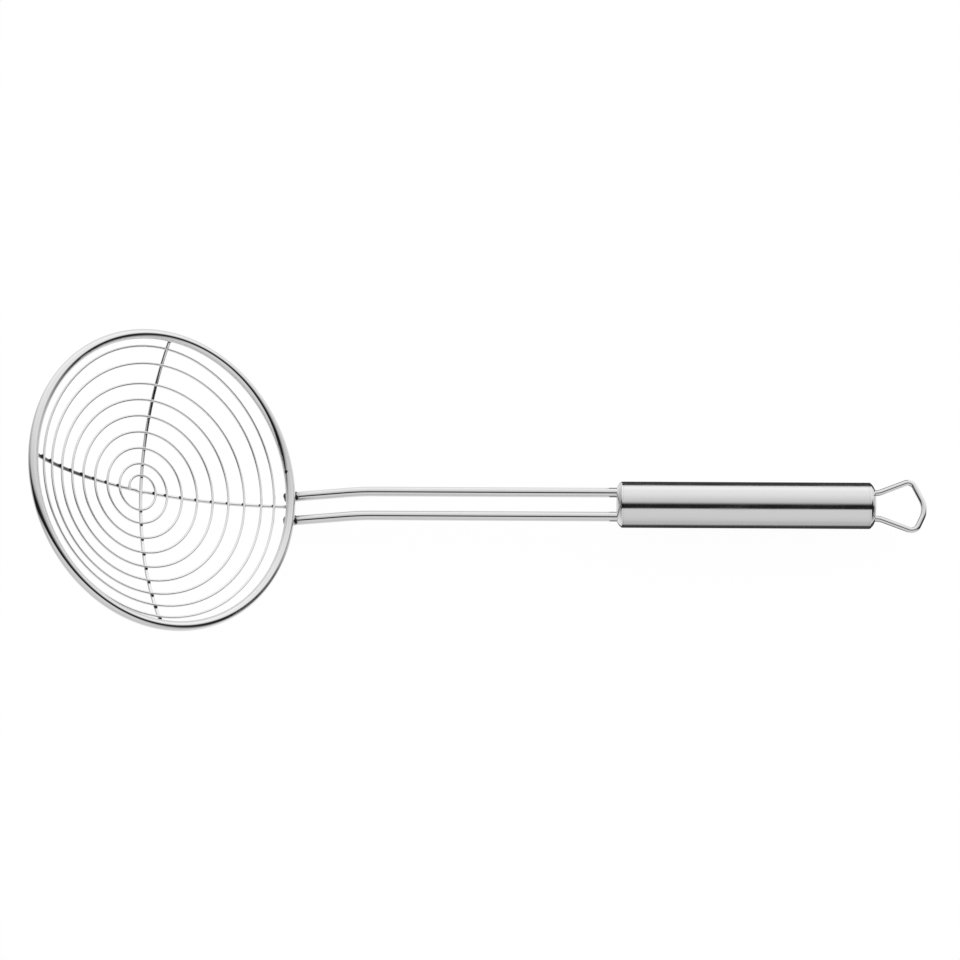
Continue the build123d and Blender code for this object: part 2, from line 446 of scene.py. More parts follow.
@dataclass(frozen=True)
class SatinTube(Finish):
    """Tube brushed lengthwise to a fine satin, a little smoother where it is held."""

    bright: Colour = grey(0.79)
    dull: Colour = grey(0.70)
    smooth: float = 0.11
    brushed: float = 0.20
    fine_lines: Grain = Grain((1 / 0.035, 110.0, 110.0), 4.0)
    fine_share: float = 0.55
    broad_lines: Grain = Grain((14.0, 22.0, 22.0))
    patches: Grain = Grain((40.0, 1.5, 1.5), 2.0)
    patch_edges: Pair = (0.3, 0.7)
    scratches: Grain = Grain((60.0, 190.0, 190.0), 2.0, 0.4)
    scratch_edges: Pair = (0.70, 0.78)
    scratch_shade: float = 0.3
    scratch_height: float = 0.6
    line_roughness: float = 0.10
    brush_depth: float = 0.0003 * MM

    def surface(self, shader: Shader) -> bpy.types.NodeSocket:
        """Two layers of brush lines, with patches worn smoother and a few longer scratches.

        Args:
            shader: the tree it goes in.

        Returns:
            The surface.
        """
        place = shader.wire_place()
        fine, broad = shader.grain(place, self.fine_lines), shader.grain(place, self.broad_lines)
        lines = fine * self.fine_share + broad * (1 - self.fine_share)
        unworn = shader.grain(place, self.patches).between(*self.patch_edges)
        scratch = shader.grain(place, self.scratches).between(*self.scratch_edges)
        colour = shader.mix(lines - scratch * self.scratch_shade, self.dull, self.bright)
        roughness = shader.blend(unworn, self.smooth, self.brushed) + (lines - GRAIN_MIDDLE) * self.line_roughness
        return self.metal(
            shader, colour, roughness, shader.bump(lines + scratch * self.scratch_height, self.brush_depth)
        )


@dataclass(frozen=True)
class WeldMetal(Finish):
    """Metal that was melted in a weld: dark, matt and a little brown or blue."""

    brown: Colour = (0.044, 0.035, 0.029, 1.0)
    blue: Colour = (0.030, 0.034, 0.042, 1.0)
    bare: Colour = grey(0.16)
    specks: Grain = Grain((4 / MM,) * 3)
    speck_edges: Pair = (0.62, 0.72)
    blotches: Grain = Grain((1.6 / MM,) * 3, 2.0)
    blotch_edges: Pair = (0.4, 0.6)
    roughness: Pair = (0.35, 0.6)
    speck_depth: float = 0.02 * MM

    def surface(self, shader: Shader) -> bpy.types.NodeSocket:
        """Blotches of heat tint with a few bare bright specks.

        Args:
            shader: the tree it goes in.

        Returns:
            The surface.
        """
        place = shader.place()
        specks, blotches = shader.grain(place, self.specks), shader.grain(place, self.blotches)
        tint = shader.mix(blotches.between(*self.blotch_edges), self.brown, self.blue)
        colour = shader.mix(specks.between(*self.speck_edges), tint, self.bare)
        return self.metal(
            shader, colour, shader.blend(specks, *self.roughness), shader.bump(specks, self.speck_depth)
        )


@dataclass(frozen=True)
class PlainSteel(Finish):
    """Plain sheet steel, unpolished, out of sight inside the grip."""

    light: Colour = grey(0.58)
    dark: Colour = grey(0.46, 0.01)
    rolling_marks: Grain = Grain((100.0, 90.0, 5 / MM))
    mark_share: float = 0.5
    stains: Grain = Grain((300.0, 300.0, 300.0))
    roughness: Pair = (0.3, 0.5)
    mark_depth: float = 0.002 * MM

    def surface(self, shader: Shader) -> bpy.types.NodeSocket:
        """Rolling marks across the sheet and a few stains.

        Args:
            shader: the tree it goes in.

        Returns:
            The surface.
        """
        place = shader.place()
        marks, stains = shader.grain(place, self.rolling_marks), shader.grain(place, self.stains)
        colour = shader.mix(marks * self.mark_share + stains * (1 - self.mark_share), self.dark, self.light)
        return self.metal(shader, colour, shader.blend(stains, *self.roughness), shader.bump(marks, self.mark_depth))


@dataclass(frozen=True)
class StudioFloor(Finish):
    """The pale board that the skimmer lies on, evenly lit, with only a trace of shadow."""

    glow: float = 0.965
    shade_colour: Colour = grey(0.06)

    def surface(self, shader: Shader) -> bpy.types.NodeSocket:
        """Even light of its own plus a little that falls on it."""
        return self.glowing(shader, self.shade_colour, grey(1.0), self.glow)


@dataclass(frozen=True)
class FlagCard(Finish):
    """Card that only the steel sees, with levels of brightness given along Y."""

    levels: Pairs

    def surface(self, shader: Shader) -> bpy.types.NodeSocket:
        """Black, but for what its levels add from one side to the other.

        Args:
            shader: the tree it goes in.

        Returns:
            The surface.
        """
        low, width = self.levels[0][0], self.levels[-1][0] - self.levels[0][0]
        _, y, _ = shader.place()
        stops = [((place - low) / width, level) for place, level in self.levels]
        return self.glowing(shader, grey(0.0), shader.level((y - low) / width, stops), 1.0)


class SteelFinish(Enum):
    """The finishes that the skimmer's pieces are dressed in."""

    POLISHED_WIRE = PolishedWire("polished_wire_steel")
    MESH_WIRE = DrawnWire("mesh_wire_steel")
    SATIN_TUBE = SatinTube("satin_tube_steel")
    POLISHED_CAP = PolishedCap("polished_cap_steel")
    WELD = WeldMetal("weld_metal")
    PLAIN = PlainSteel("plain_steel_sheet")


# -------------------------------------------------------------------- geometry


@dataclass(frozen=True)
class Ring:
    """One round section of a wire."""

    centre: Vector
    radius: float
    # darkening from 0 to 1: heat tint at welds and painted shade
    tint_and_shade: float = 0.0


def smoothed(mesh: bpy.types.Mesh, crease: float = CREASE) -> bpy.types.Mesh:
    """Shades a mesh smooth.

    Args:
        mesh: the mesh.
        crease: the angle in degrees from which an edge stays sharp.

    Returns:
        The same mesh.
    """
    mesh.shade_smooth()
    mesh.set_sharp_from_angle(angle=math.radians(crease))
    return mesh


def as_mesh(name: str, body: bmesh.types.BMesh) -> bpy.types.Mesh:
    """Turns a finished bmesh into a mesh.

    Args:
        name: the mesh's name.
        body: the bmesh, which is freed.

    Returns:
        The mesh.
    """
    mesh = bpy.data.meshes.new(name)
    body.to_mesh(mesh)
    body.free()
    return mesh


def in_scene(name: str, mesh: bpy.types.Mesh) -> bpy.types.Object:
    """Puts a mesh in the scene.

    Args:
        name: the new object's name.
        mesh: its mesh.

    Returns:
        The object.
    """
    thing = bpy.data.objects.new(name, mesh)
    bpy.context.scene.collection.objects.link(thing)
    return thing


def transported_frames(centres: Sequence[Vector], closed: bool) -> list[tuple[Vector, Vector, Vector]]:
    """Frames carried along a line of points without twist.

    Args:
        centres: the points, in order.
        closed: whether the last point joins the first.

    Returns:
        For each point the direction along the line and two across it.
    """
    count = len(centres)
    tangents = []
    for number in range(count):
        ahead = centres[(number + 1) % count] if closed else centres[min(number + 1, count - 1)]
        behind = centres[number - 1] if closed or number else centres[0]
        tangents.append((ahead - behind).normalized())
    side = tangents[0].orthogonal().normalized()
    frames = []
    for number, tangent in enumerate(tangents):
        if number:
            side = tangents[number - 1].rotation_difference(tangent) @ side
        side = (side - tangent * side.dot(tangent)).normalized()
        frames.append((tangent, side.copy(), tangent.cross(side)))
    if closed:
        last = tangents[-1].rotation_difference(tangents[0]) @ frames[-1][1]
        gap = math.atan2(last.dot(frames[0][2]), last.dot(frames[0][1]))
        for number, (tangent, across, beside) in enumerate(frames):
            turn = Matrix.Rotation(-gap * number / count, 3, tangent)
            frames[number] = (tangent, turn @ across, turn @ beside)
    return frames


def chamfered(rings: list[Ring], chamfer: float) -> list[Ring]:
    """Breaks both cut ends of a wire.

    Args:
        rings: its sections in order.
        chamfer: how much the ends are broken.

    Returns:
        The same sections with a chamfer at each end.
    """
    first, last = rings[0], rings[-1]
    inward = (rings[1].centre - first.centre).normalized() * chamfer
    outward = (last.centre - rings[-2].centre).normalized() * chamfer
    start = [replace(first, radius=first.radius - chamfer), replace(first, centre=first.centre + inward)]
    end = [replace(last, centre=last.centre - outward), replace(last, radius=last.radius - chamfer)]
    return start + rings[1:-1] + end


def round_wire(name: str, rings: list[Ring], sides: int, chamfer: float | None = None) -> bpy.types.Object:
    """A wire of round section along a line.

    Args:
        name: the piece's name.
        rings: its sections in order.
        sides: how many sides each section has.
        chamfer: how much its cut ends are broken, or None for a closed hoop.

    Returns:
        The new piece.
    """
    closed = chamfer is None
    if not closed:
        rings = chamfered(rings, chamfer)
    centres = [ring.centre for ring in rings]
    travel = [0.0]
    for centre, next_centre in zip(centres, centres[1:] + centres[:1]):
        travel.append(travel[-1] + (next_centre - centre).length)
    body = bmesh.new()
    uv = body.loops.layers.uv.new(WIRE_UV)
    tint_and_shade = body.verts.layers.float.new(TINT_AND_SHADE)
    loops: list[list[bmesh.types.BMVert]] = []
    for ring, (_, across, beside) in zip(rings, transported_frames(centres, closed)):
        loop = []
        for side in range(sides):
            angle = math.tau * side / sides
            place = ring.centre + (across * math.cos(angle) + beside * math.sin(angle)) * ring.radius
            vert = body.verts.new(place)
            vert[tint_and_shade] = ring.tint_and_shade
            loop.append(vert)
        loops.append(loop)
    spans = len(rings) if closed else len(rings) - 1
    for span in range(spans):
        first, second = loops[span], loops[(span + 1) % len(rings)]
        start, end = travel[span], travel[span + 1]
        for side in range(sides):
            after = (side + 1) % sides
            face = body.faces.new((first[side], first[after], second[after], second[side]))
            low, high = side / sides, (side + 1) / sides
            for corner, place in zip(face.loops, ((start, low), (start, high), (end, high), (end, low))):
                corner[uv].uv = place
    if not closed:
        for loop, place in ((loops[0][::-1], travel[0]), (loops[-1], travel[spans])):
            for number, corner in enumerate(body.faces.new(loop).loops):
                corner[uv].uv = (place, number / sides)
    return in_scene(name, smoothed(as_mesh(name, body)))


def append_run(points: list[Vector], end: Vector, run_step: float) -> None:
    """Adds evenly spaced points on a straight run.

    Args:
        points: the line so far, which grows.
        end: where the run ends.
        run_step: the greatest distance between its points.
    """
    start = points[-1].copy()
    steps = max(1, math.ceil((end - start).length / run_step))
    for step in range(1, steps + 1):
        points.append(start.lerp(end, step / steps))


def rounded_line(corners: Sequence[Vector], radii: Sequence[float], turn_step: float, run_step: float) -> list[Vector]:
    """Points along straight runs joined by tangent arcs.

    Args:
        corners: the line's corners, ends included.
        radii: the radius at each inner corner, 0 for a plain corner.
        turn_step: the angle between points on an arc, in degrees.
        run_step: the greatest distance between points on a run.

    Returns:
        The points from end to end.
    """
    points = [corners[0].copy()]
    for corner, before, after, radius in zip(corners[1:-1], corners, corners[2:], radii):
        back = (before - corner).normalized()
        on = (after - corner).normalized()
        opening = back.angle(on)
        turn = math.pi - opening
        if radius == 0 or turn < STRAIGHT:
            append_run(points, corner, run_step)
            continue
        start = corner + back * (radius / math.tan(opening / 2))
        centre = corner + (back + on).normalized() * (radius / math.sin(opening / 2))
        append_run(points, start, run_step)
        axis = on.cross(back)
        steps = max(2, round(math.degrees(turn) / turn_step))
        for step in range(1, steps + 1):
            swing = Matrix.Rotation(turn * step / steps, 3, axis)
            points.append(centre + swing @ (start - centre))
    append_run(points, corners[-1], run_step)
    return points


def turned_piece(name: str, profile: Sequence[Pair], face: Vector, inward: float, sides: int) -> bpy.types.Object:
    """A closed ring or cap turned about the handle's axis.

    Args:
        name: the piece's name.
        profile: its closed outline as (distance along the axis, radius).
        face: the point of the axis that distances are measured from.
        inward: 1 if distances run along +X, and -1 along -X.
        sides: how many steps it has round the axis.

    Returns:
        The new piece.
    """
    body = bmesh.new()
    uv = body.loops.layers.uv.new(WIRE_UV)
    travel = [0.0]
    for (along, radius), (next_along, next_radius) in zip(profile, [*profile[1:], profile[0]]):
        travel.append(travel[-1] + math.hypot(next_along - along, next_radius - radius))
    angles = [math.tau * side / sides for side in range(sides)]
    spokes = [Vector((0.0, math.cos(angle), math.sin(angle))) for angle in angles]
    loops: list[list[bmesh.types.BMVert]] = []
    for along, radius in profile:
        centre = face + Vector((along * inward, 0.0, 0.0))
        places = [centre + spoke * radius for spoke in spokes] if radius else [centre]
        loops.append([body.verts.new(place) for place in places])
    for number, first in enumerate(loops):
        second = loops[(number + 1) % len(loops)]
        start, end = travel[number], travel[number + 1]
        if len(first) == 1 and len(second) == 1:
            continue
        for side in range(sides):
            after = (side + 1) % sides
            low, high = side / sides, (side + 1) / sides
            ring = [(first[side % len(first)], (start, low)), (second[side % len(second)], (end, low))]
            if len(second) > 1:
                ring.append((second[after], (end, high)))
            if len(first) > 1:
                ring.append((first[after], (start, high)))
            new_face = body.faces.new([vert for vert, _ in ring])
            for corner, (_, place) in zip(new_face.loops, ring):
                corner[uv].uv = place
    bmesh.ops.recalc_face_normals(body, faces=body.faces)
    return in_scene(name, smoothed(as_mesh(name, body)))


def drill(piece: bpy.types.Object, centres: Sequence[Vector], radius: float, depth: float, sides: int = 64) -> None:
    """Cuts round holes along X through a piece.

    Args:
        piece: the piece to cut.
        centres: the middle of each hole.
        radius: the holes' radius.
        depth: how long the drill is.
        sides: how many sides a hole has.
    """
    body = bmesh.new()
    turn = Matrix.Rotation(math.pi / 2, 4, "Y")
    for centre in centres:
        place = Matrix.Translation(centre) @ turn
        bmesh.ops.create_cone(
            body, cap_ends=True, segments=sides, radius1=radius, radius2=radius, depth=depth, matrix=place
        )
    cutter = in_scene("drill", as_mesh("drill", body))
    cut = piece.modifiers.new("holes", "BOOLEAN")
    cut.operation = "DIFFERENCE"
    cut.solver = "EXACT"
    cut.object = cutter
    graph = bpy.context.evaluated_depsgraph_get()
    cut_mesh = bpy.data.meshes.new_from_object(piece.evaluated_get(graph))
    piece.modifiers.clear()
    piece.data = smoothed(cut_mesh)
    bpy.data.objects.remove(cutter)


@dataclass(frozen=True)
class Blob:
    """One lump of weld metal."""

    centre: Vector
    directions: tuple[Vector, Vector, Vector]
    half_sizes: Triple
    seed: float


def weld_lumps(
    name: str, blobs: Sequence[Blob], unevenness: float, ripple: float = 1.6, fineness: int = 3
) -> bpy.types.Object:
    """Lumps of weld metal in one piece.

    Args:
        name: the piece's name.
        blobs: the lumps.
        unevenness: how far a lump's skin strays, as a share of its size.
        ripple: how closely it strays in and out.
        fineness: how many times a lump's faces are divided.

    Returns:
        The new piece.
    """
    body = bmesh.new()
    for blob in blobs:
        shift = Vector((blob.seed, -blob.seed, blob.seed * 0.5))
        for vert in bmesh.ops.create_icosphere(body, subdivisions=fineness, radius=1.0)["verts"]:
            swell = 1.0 + unevenness * noise.noise(vert.co * ripple + shift)
            place = blob.centre.copy()
            for share, direction, size in zip(vert.co, blob.directions, blob.half_sizes):
                place += direction * (share * size * swell)
            vert.co = place
    return in_scene(name, smoothed(as_mesh(name, body), NO_CREASE))


def finish_piece(piece: bpy.types.Object, finish: SteelFinish, slot: str, *nodes: str) -> None:
    """Dresses a piece and ties it to the frame.

    Args:
        piece: the new piece.
        finish: what it is dressed in.
        slot: the record's material slot; not used.
        nodes: the CAD nodes that it stands for.
    """
    piece.data.materials.clear()
    piece.data.materials.append(finish.value.material())
    if nodes:
        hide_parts(*nodes)
    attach(piece, BODY)
    LOG.info("piece %s: %d faces, %s", piece.name, len(piece.data.polygons), finish.value.name)


def box_middle(node: str) -> Vector:
    """The middle of a CAD node's box."""
    low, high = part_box(node)
    return (Vector(low) + Vector(high)) / 2


# ------------------------------------------------------------------------ bowl


@dataclass(frozen=True)
class Carrier:
    """How a wire that carries the mesh runs, and how its weld spots sit and shrink along it."""

    node: str
    heading: float
    offset: float
    spot_shift: Pair
    spot_scales: Pair


class CarrierWire(Enum):
    """The two wires that carry the mesh."""

    SIDE = Carrier("cross_wire_side", 91.1, 1.3 * MM, mm(-0.45, -0.22), (1.08, 0.62))
    LONG = Carrier("cross_wire_long", 0.0, 0.0, mm(-0.55, 0.0), (1.08, 0.80))


@dataclass
class Bowl:
    """The round rim, the spiral mesh and the two wires that carry it.

    The strays are the places where the mesh wire leaves an even spiral: at which turn, by how many pitches, and over
    how many turns. The butt weld's shape is how steep its groove is, how high its lips are, and how steep they are.
    """

    rim_wire: float = 4.0 * MM
    rim_radius: float = 60.0 * MM
    rim_rings: int = 360
    rim_sides: int = 40
    depth: float = 20.2 * MM
    tilt: float = 38.7
    mesh_wire: float = 1.0 * MM
    mesh_sides: int = 16
    rings_per_turn: int = 96
    eye_radius: float = 5.9 * MM
    turns: float = 8.5
    lead_in_turns: float = 0.5
    strays: tuple[Triple, ...] = (
        (-0.5, 0.33, 0.8), (6.75, 0.28, 0.2), (7.35, -0.15, 0.12), (7.7, 0.4, 0.13), (8.08, -0.17, 0.2)
    )
    carrier_wire: float = 1.4 * MM
    carrier_sides: int = 20
    carrier_rings: int = 480
    dip_reach: float = 3.0 * MM
    weld_gap: float = 0.05 * MM
    wire_gap: float = 0.02 * MM
    wire_chamfer: float = 0.12 * MM
    crossing_steps: int = 720
    halvings: int = 30
    butt_weld_angle: float = 13.8
    butt_weld_width: float = 0.5 * MM
    butt_weld_groove: float = 0.006 * MM
    butt_weld_shape: Triple = (1.6, 0.45, 2.2)
    butt_weld_rings: tuple[float, ...] = (-1.5, -0.9, -0.5, -0.2, 0.2, 0.5, 0.9, 1.5)
    butt_heat: float = 0.04
    butt_heat_fall: float = 0.9
    butt_bead_half_sizes: Triple = mm(0.72, 0.62, 0.42)
    butt_bead_roll: float = 150.0
    butt_bead_seed: float = 2.9
    spot_half_sizes: Triple = mm(0.72, 0.66, 0.50)
    spot_seeds: Pair = (1.3, 3.7)
    spot_unevenness: float = 0.5
    # darkening beside each weld: heat tint and painted shade beside the crossings
    carrier_tint_and_shade: float = 0.35
    carrier_tint_and_shade_reach: float = 1.1 * MM
    # painted shade: the long wire's far part is darkened in colour to stand for the dark reflection it shows
    far_painted_shade: float = 0.8
    far_painted_shade_start: float = 15.0 * MM
    far_painted_shade_full: float = 30.0 * MM
    rim_spot_half_sizes: Triple = mm(1.0, 0.9, 0.8)
    rim_spot_scales: tuple[float, ...] = (0.8, 0.7, 0.9, 0.4)
    rim_spot_rise: float = 0.35
    rim_spot_seeds: Pair = (0.7, 5.1)
    rim_spot_unevenness: float = 0.45
    just_inside: float = 0.98
    centre: Vector = field(default_factory=lambda: box_middle("rim_hoop"))

    def __post_init__(self) -> None:
        """Works out the ball that the bowl is part of, and the rim's own directions."""
        self.ball_radius = (self.rim_radius**2 + self.depth**2) / (2 * self.depth)
        self.ball_height = self.ball_radius - self.depth
        rim_arc = self.ball_radius * math.atan2(self.rim_radius, self.ball_height)
        end_arc = rim_arc - self.rim_wire / 2 - self.mesh_wire / 2 - self.weld_gap
        self.pitch = (end_arc - self.eye_radius) / self.turns
        lean = math.radians(self.tilt)
        self.towards_handle = Vector((math.cos(lean), 0.0, -math.sin(lean)))
        self.to_side = Vector((0.0, 1.0, 0.0))
        self.upward = Vector((math.sin(lean), 0.0, math.cos(lean)))
        self.ball_centre = self.centre + self.upward * self.ball_height
        self.carrier_ball = self.ball_radius + self.mesh_wire / 2 + self.carrier_wire / 2 + self.wire_gap

    def at(self, along: float, side: float, height: float = 0.0) -> Vector:
        """A point given in the rim's plane: towards the handle, to the side, and out of the open side."""
        return self.centre + self.towards_handle * along + self.to_side * side + self.upward * height

    def build(self) -> None:
        """Builds and dresses every piece of the bowl."""
        finish_piece(self.rim(), SteelFinish.POLISHED_WIRE, "polished_wire", "rim_hoop")
        finish_piece(self.mesh(), SteelFinish.MESH_WIRE, "fine_wire", "mesh_spiral")
        for which in CarrierWire:
            finish_piece(self.carrier(which), SteelFinish.MESH_WIRE, "fine_wire", which.value.node)
            finish_piece(self.spot_welds(which), SteelFinish.WELD, "fine_wire")
        finish_piece(self.rim_welds(), SteelFinish.WELD, "polished_wire")

    def rim(self) -> bpy.types.Object:
        """The hoop, drawn in a little where its two ends are welded together.

        Returns:
            The new piece.
        """
        weld, weld_turn = math.radians(self.butt_weld_angle), self.butt_weld_width / self.rim_radius
        turns = [math.tau * step / self.rim_rings for step in range(self.rim_rings)]
        turns += [weld + weld_turn * share for share in self.butt_weld_rings]
        steepness, lip, lip_steepness = self.butt_weld_shape
        rings = []
        for turn in sorted(turns):
            off = (turn - weld) / weld_turn
            groove = bell(off * steepness) - lip * bell((abs(off) - 1.0) * lip_steepness)
            radius = self.rim_wire / 2 - self.butt_weld_groove * groove
            place = self.at(self.rim_radius * math.cos(turn), self.rim_radius * math.sin(turn))
            rings.append(Ring(place, radius, self.butt_heat * bell(off * self.butt_heat_fall)))
        return round_wire("rim_wire", rings, self.rim_sides)

    def mesh_arc(self, turn: float) -> float:
        """How far the mesh wire lies from the eye at that turn, along the bowl."""
        stray = sum(share * bell((turn - at) / width) for at, share, width in self.strays)
        return self.eye_radius + self.pitch * (turn + stray)

    def mesh_point(self, turn: float) -> Vector:
        """A point of the mesh wire's centre line.

        Args:
            turn: how many turns it is from where the spiral proper starts.

        Returns:
            The point.
        """
        polar = self.mesh_arc(turn) / self.ball_radius
        reach = self.ball_radius * math.sin(polar)
        heading = -math.tau * turn
        height = self.ball_height - self.ball_radius * math.cos(polar)
        return self.at(reach * math.cos(heading), reach * math.sin(heading), height)

    def mesh(self) -> bpy.types.Object:
        """The one thin wire, wound from the eye to the rim.

        Returns:
            The new piece.
        """
        first, last = -self.lead_in_turns, self.turns
        count = round((last - first) * self.rings_per_turn)
        points = [self.mesh_point(first + (last - first) * step / count) for step in range(count + 1)]
        lead_in = (points[0] - points[1]).normalized() * self.mesh_wire
        lead_out = (points[-1] - points[-2]).normalized() * self.mesh_wire
        points = [points[0] + lead_in, *points, points[-1] + lead_out]
        rings = [Ring(point, self.mesh_wire / 2) for point in points]
        return round_wire("mesh_wire", rings, self.mesh_sides, self.wire_chamfer)

    def carrier_line(self, wire: Carrier) -> tuple[Vector, Vector]:
        """How a carrying wire runs over the bowl.

        Args:
            wire: the wire.

        Returns:
            A point over its middle in the rim's plane, and its direction there.
        """
        heading = math.radians(wire.heading)
        across = (math.cos(heading), math.sin(heading))
        origin = self.at(across[1] * wire.offset, -across[0] * wire.offset)
        return origin, self.towards_handle * across[0] + self.to_side * across[1]

    def carrier_radius(self, wire: Carrier) -> float:
        """Radius of a carrying wire's centre line in its own plane."""
        return math.sqrt(self.carrier_ball**2 - wire.offset**2)

    def carrier_end_angle(self, wire: Carrier) -> float:
        """Where a carrying wire stops against the rim.

        Args:
            wire: the wire.

        Returns:
            The angle from the bowl's axis to its end, in radians.
        """
        rim_reach = math.sqrt(self.rim_radius**2 - wire.offset**2)
        radius = self.carrier_radius(wire)
        drop = radius - self.carrier_wire / 2 - math.hypot(rim_reach, self.ball_height)
        setback = math.sqrt((self.rim_wire / 2 + self.weld_gap) ** 2 - drop**2)
        return math.atan2(rim_reach, self.ball_height) - setback / radius

    def carrier_point(self, which: CarrierWire, angle: float) -> Vector:
        """A point of a carrying wire's centre line.

        Args:
            which: the wire.
            angle: the angle from the bowl's axis, in radians.

        Returns:
            The point.
        """
        origin, direction = self.carrier_line(which.value)
        radius = self.carrier_radius(which.value) + self.dip(which, angle)
        height = self.ball_height - radius * math.cos(angle)
        return origin + direction * (radius * math.sin(angle)) + self.upward * height

    def dip(self, which: CarrierWire, angle: float) -> float:
        """How far the long wire dips to pass under the side wire.

        Args:
            which: the wire.
            angle: the angle from the bowl's axis, in radians.

        Returns:
            How much farther out it lies there.
        """
        side_wire = CarrierWire.SIDE.value
        middle = side_wire.offset / math.sin(math.radians(side_wire.heading))
        off = abs(self.carrier_radius(which.value) * math.sin(angle) - middle) / self.dip_reach
        if which is CarrierWire.SIDE or off >= 1:
            return 0.0
        near = 1 - 2 * off**2 if off < 0.5 else 2 * (1 - off) ** 2
        return (self.carrier_wire + self.wire_gap) * near

    def carrier(self, which: CarrierWire) -> bpy.types.Object:
        """One carrying wire, darkened beside each of its welds by heat tint and painted shade.

        Args:
            which: the wire.

        Returns:
            The new piece.
        """
        end, count = self.carrier_end_angle(which.value), self.carrier_rings
        points = [self.carrier_point(which, end * (2 * step / count - 1)) for step in range(count + 1)]
        welds = [self.mesh_point(turn) for turn in self.crossings(which.value)] + [points[0], points[-1]]
        rings = []
        for point in points:
            nearest = min((weld - point).length for weld in welds)
            # heat tint and painted shade near each weld
            tint_and_shade = self.carrier_tint_and_shade * bell(nearest / self.carrier_tint_and_shade_reach)
            # painted shade on the far part of the long wire
            if which is CarrierWire.LONG:
                tint_and_shade = max(tint_and_shade, self.painted_far_shade(point))
            rings.append(Ring(point, self.carrier_wire / 2, tint_and_shade))
        return round_wire(f"{which.name.lower()}_carrier_wire", rings, self.carrier_sides, self.wire_chamfer)

    def painted_far_shade(self, point: Vector) -> float:
        """Painted shade on the far part of the long wire: a dark reflection painted into its colour.

        Args:
            point: a point of that wire.

        Returns:
            The painted shade there, from 0 to 1.
        """
        beyond = -(point - self.centre).dot(self.towards_handle) - self.far_painted_shade_start
        share = min(1.0, max(0.0, beyond / (self.far_painted_shade_full - self.far_painted_shade_start)))
        return self.far_painted_shade * share * share * (3 - 2 * share)

    def crossings(self, wire: Carrier) -> list[float]:
        """Finds where the mesh wire lies over a carrying wire.

        Args:
            wire: the carrying wire.

        Returns:
            The turns of the mesh wire, from the eye outward.
        """
        origin, direction = self.carrier_line(wire)
        normal = direction.cross(self.upward)

        def off(turn: float) -> float:
            """How far the mesh wire is from the carrying wire's plane."""
            return (self.mesh_point(turn) - origin).dot(normal)

        found = []
        total, count = self.turns + self.lead_in_turns, self.crossing_steps
        stops = [total * step / count - self.lead_in_turns for step in range(count + 1)]
        for low, high in zip(stops, stops[1:]):
            if off(low) * off(high) > 0:
                continue
            for _ in range(self.halvings):
                middle = (low + high) / 2
                low, high = (low, middle) if off(low) * off(middle) <= 0 else (middle, high)
            found.append((low + high) / 2)
        return found

    def spot_welds(self, which: CarrierWire) -> bpy.types.Object:
        """The small welds that hold the mesh wire to a carrying wire: dark lumps set to one side that also stand for
        painted shade beside each crossing.

        Args:
            which: the carrying wire.

        Returns:
            The new piece.
        """
        _, direction = self.carrier_line(which.value)
        forth, aside = which.value.spot_shift
        first, last = which.value.spot_scales
        blobs = []
        for number, turn in enumerate(self.crossings(which.value)):
            point = self.mesh_point(turn)
            outward = (point - self.ball_centre).normalized()
            along = (direction - outward * direction.dot(outward)).normalized()
            across = outward.cross(along)
            scale = (first + last) / 2 + (last - first) / 2 * (point - self.centre).dot(direction) / self.rim_radius
            # each lump sits off to one side, as painted shade beside the crossing
            shift = along * (forth * scale) + across * (aside * scale)
            middle = point + outward * (self.mesh_wire / 2) + shift
            sizes = tuple(size * scale for size in self.spot_half_sizes)
            seed = self.spot_seeds[0] + self.spot_seeds[1] * number
            blobs.append(Blob(middle, (along, across, outward), sizes, seed))
        return weld_lumps(f"{which.name.lower()}_spot_welds", blobs, self.spot_unevenness)

    def rim_welds(self) -> bpy.types.Object:
        """The welds that hold the carrying wires to the rim, and the bead of the rim's own weld.

        Returns:
            The new piece.
        """
        blobs = []
        for which in CarrierWire:
            for way in (-1, 1):
                end = way * self.carrier_end_angle(which.value)
                point = self.carrier_point(which, end)
                along = (point - self.carrier_point(which, end * self.just_inside)).normalized()
                outward = (point - self.ball_centre).normalized()
                across = outward.cross(along).normalized()
                middle = point - outward * (self.carrier_wire * self.rim_spot_rise)
                number = len(blobs)
                sizes = tuple(size * self.rim_spot_scales[number] for size in self.rim_spot_half_sizes)
                seed = self.rim_spot_seeds[0] + self.rim_spot_seeds[1] * number
                blobs.append(Blob(middle, (along, across, outward), sizes, seed))
        return weld_lumps("rim_spot_welds", [*blobs, self.butt_bead()], self.rim_spot_unevenness)

    def butt_bead(self) -> Blob:
        """The small bead that stands out of the rim's butt weld on the inside.

        Returns:
            The bead.
        """
        angle, roll = math.radians(self.butt_weld_angle), math.radians(self.butt_bead_roll)
        radial = self.towards_handle * math.cos(angle) + self.to_side * math.sin(angle)
        tangent = self.to_side * math.cos(angle) - self.towards_handle * math.sin(angle)
        out = radial * math.cos(roll) + self.upward * math.sin(roll)
        middle = self.centre + radial * self.rim_radius + out * (self.rim_wire / 2)
        return Blob(middle, (tangent, out.cross(tangent), out), self.butt_bead_half_sizes, self.butt_bead_seed)


# ------------------------------------------------------------------------ grip


